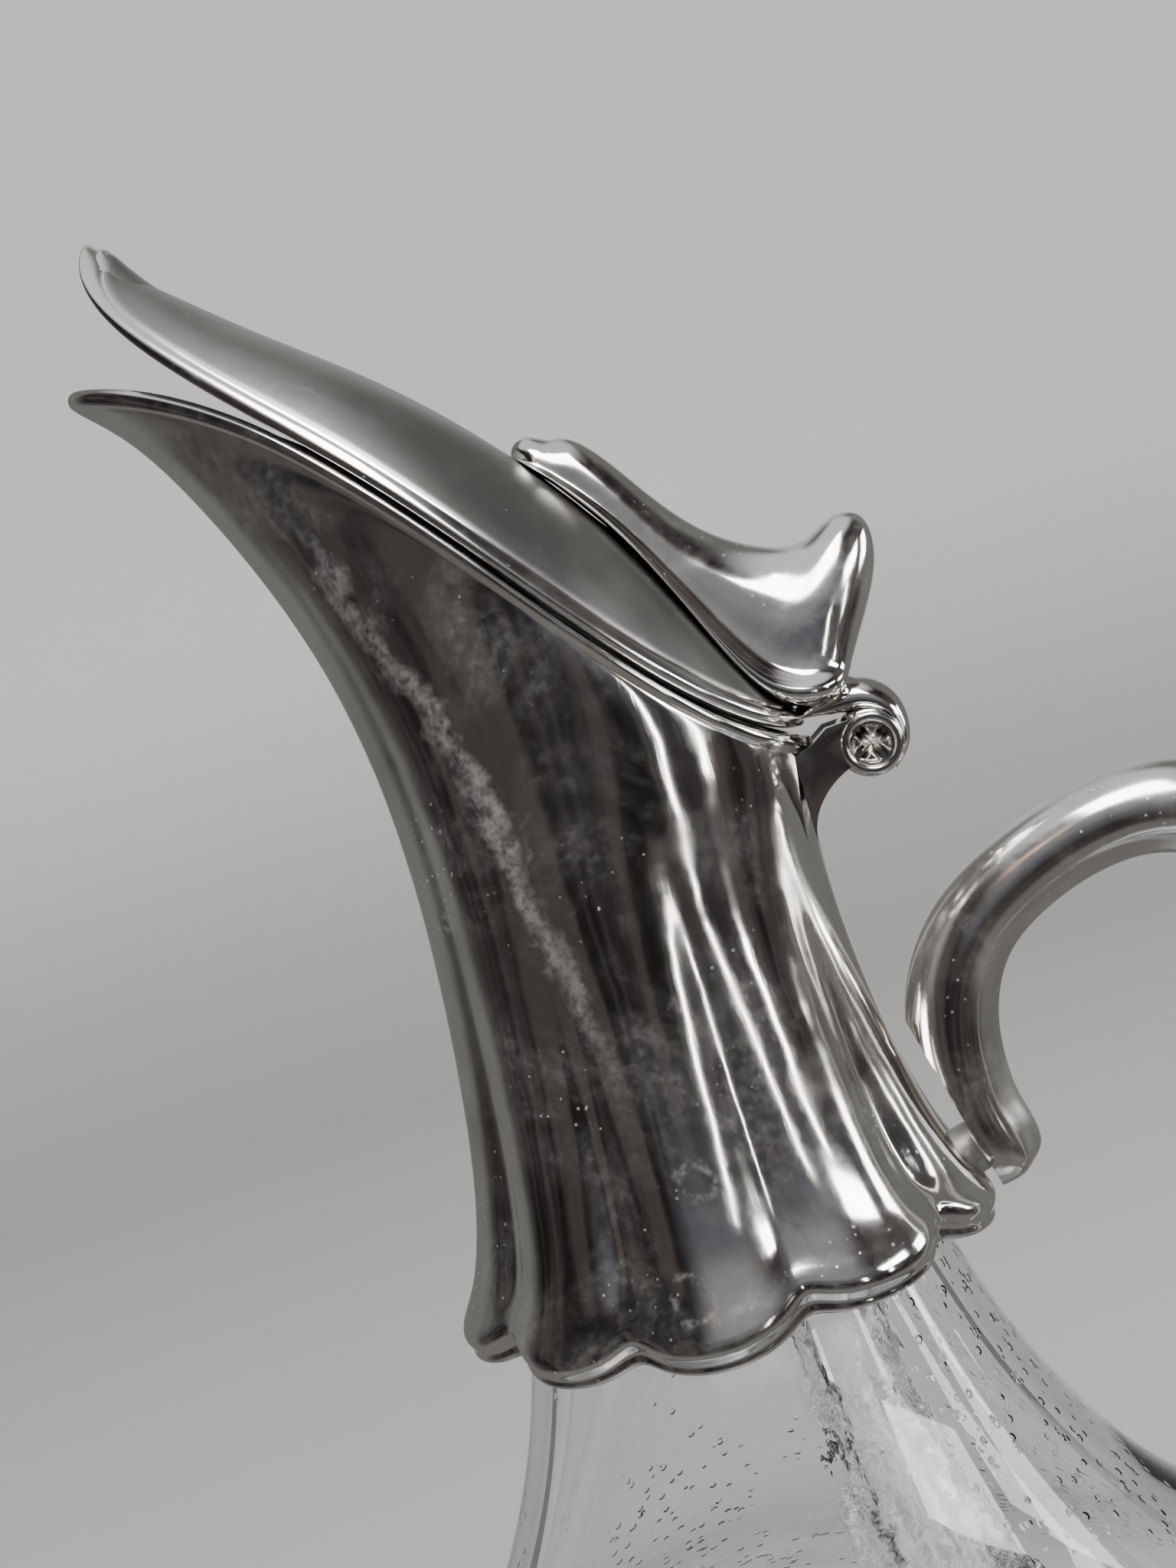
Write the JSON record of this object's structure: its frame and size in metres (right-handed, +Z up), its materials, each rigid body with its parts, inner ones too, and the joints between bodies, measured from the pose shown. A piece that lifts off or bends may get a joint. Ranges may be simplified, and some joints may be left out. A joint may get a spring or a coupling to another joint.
{
  "type": "claret jug",
  "caption": "Glass claret jug with a fluted metal spout mount, a hinged lid with a thumb-piece, and an arched handle.",
  "frame": {"origin": "centre of the foot, on the surface the jug stands on", "axes": "+Z up, the spout points along -X, the handle along +X, and the hinge runs along Y"},
  "size_m": [0.1868, 0.1868, 0.2452],
  "materials": {
    "clear_glass": "clear blown glass with faint water marks",
    "plaster": "matt white plaster",
    "polished_plate": "polished silver plate with light tarnish",
    "satin_plate": "fine satin silver plate with a polished edge",
    "worn_screw": "worn plated brass",
    "solder": "dull solder"
  },
  "bodies": {
    "jug": {"glass_body": "clear_glass", "neck_plaster": "plaster", "spout_mount": "polished_plate", "hinge_bracket": "polished_plate", "hinge_screw": "worn_screw", "hinge_nut": "polished_plate", "handle": "polished_plate", "handle_solder_pad": "solder"},
    "lid": {"lid_shell": "satin_plate", "thumb_piece": "polished_plate", "lid_knuckle": "polished_plate"}
  },
  "joints": [
    {"name": "lid_hinge", "type": "hinge", "parent": "jug", "child": "lid", "pos_m": [0.031, 0, 0.167], "axis": [0, 1, 0], "range_deg": [0, 90]}
  ]
}
